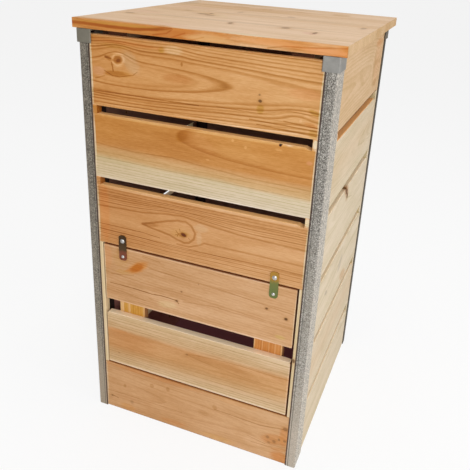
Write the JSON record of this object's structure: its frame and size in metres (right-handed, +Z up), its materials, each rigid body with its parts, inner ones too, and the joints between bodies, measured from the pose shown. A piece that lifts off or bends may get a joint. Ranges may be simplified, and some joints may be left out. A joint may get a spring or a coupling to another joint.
{
  "type": "wooden composter",
  "caption": "Slatted wooden compost bin with folded steel corner posts, a hinged lid and a tilting hatch held by turn plates.",
  "frame": {"origin": "middle of the overall plan, which the lid and the post caps set, at ground level", "axes": "+X to the right as seen from the hatch side, +Y from the hatch to the back, +Z up"},
  "size_m": [0.576, 0.6112, 1.0038],
  "materials": {
    "front_boards": "sawn softwood, warm orange",
    "side_boards": "sawn softwood, pale",
    "lid_boards": "planed softwood, pale",
    "galvanised_steel": "hot-dip galvanised sheet",
    "cap_plastic": "moulded plastic",
    "yellow_zinc": "yellow-passivated zinc plate",
    "bright_zinc": "bright zinc plate"
  },
  "bodies": {
    "bin": {"front_board_bottom": "front_boards", "front_board_third": "front_boards", "front_board_second": "front_boards", "front_board_top": "front_boards", "right_board_1": "side_boards", "right_board_2": "side_boards", "right_board_3": "side_boards", "right_board_4": "side_boards", "right_board_5": "side_boards", "right_board_6": "side_boards", "back_board_1": "side_boards", "back_board_2": "side_boards", "back_board_3": "side_boards", "back_board_4": "side_boards", "back_board_5": "side_boards", "back_board_6": "side_boards", "left_board_1": "side_boards", "left_board_2": "side_boards", "left_board_3": "side_boards", "left_board_4": "side_boards", "left_board_5": "side_boards", "left_board_6": "side_boards", "post_front_left": "galvanised_steel", "post_front_right": "galvanised_steel", "post_back_left": "galvanised_steel", "post_back_right": "galvanised_steel", "cap_front_left": "cap_plastic", "cap_front_right": "cap_plastic", "cap_back_left": "cap_plastic", "cap_back_right": "cap_plastic", "stile_left": "front_boards", "stile_right": "front_boards", "hinge_wall_leaf_left": "bright_zinc", "hinge_wall_leaf_right": "bright_zinc", "hinge_pins": "bright_zinc", "hinge_wall_screws": "bright_zinc"},
    "lid": {"lid_board_1": "lid_boards", "lid_board_2": "lid_boards", "lid_board_3": "lid_boards", "lid_board_4": "lid_boards", "lid_batten_left": "lid_boards", "lid_batten_right": "lid_boards", "lid_screws": "bright_zinc", "hinge_lid_leaf_left": "bright_zinc", "hinge_lid_leaf_right": "bright_zinc", "hinge_lid_screws": "bright_zinc"},
    "hatch": {"hatch_board_lower": "front_boards", "hatch_board_upper": "front_boards", "hatch_batten_left": "front_boards", "hatch_batten_right": "front_boards", "hatch_screws": "bright_zinc", "plate_pivot_left": "bright_zinc", "plate_pivot_right": "bright_zinc"},
    "plate_left": {"turn_plate_left": "yellow_zinc", "plate_knob_left": "bright_zinc"},
    "plate_right": {"turn_plate_right": "yellow_zinc", "plate_knob_right": "bright_zinc"}
  },
  "joints": [
    {"name": "lid_hinge", "type": "hinge", "parent": "bin", "child": "lid", "pos_m": [0, 0.25745, 0.98], "axis": [-1, 0, 0], "range_deg": [0, 95]},
    {"name": "hatch_tilt", "type": "hinge", "parent": "bin", "child": "hatch", "pos_m": [0, -0.30035, 0.1495], "axis": [1, 0, 0], "range_deg": [0, 55]},
    {"name": "plate_turn_left", "type": "hinge", "parent": "hatch", "child": "plate_left", "pos_m": [-0.1872, -0.30165, 0.46875], "axis": [0, -1, 0], "range_deg": [-90, 90]},
    {"name": "plate_turn_right", "type": "hinge", "parent": "hatch", "child": "plate_right", "pos_m": [0.1872, -0.30165, 0.46875], "axis": [0, -1, 0], "range_deg": [-90, 90]}
  ]
}
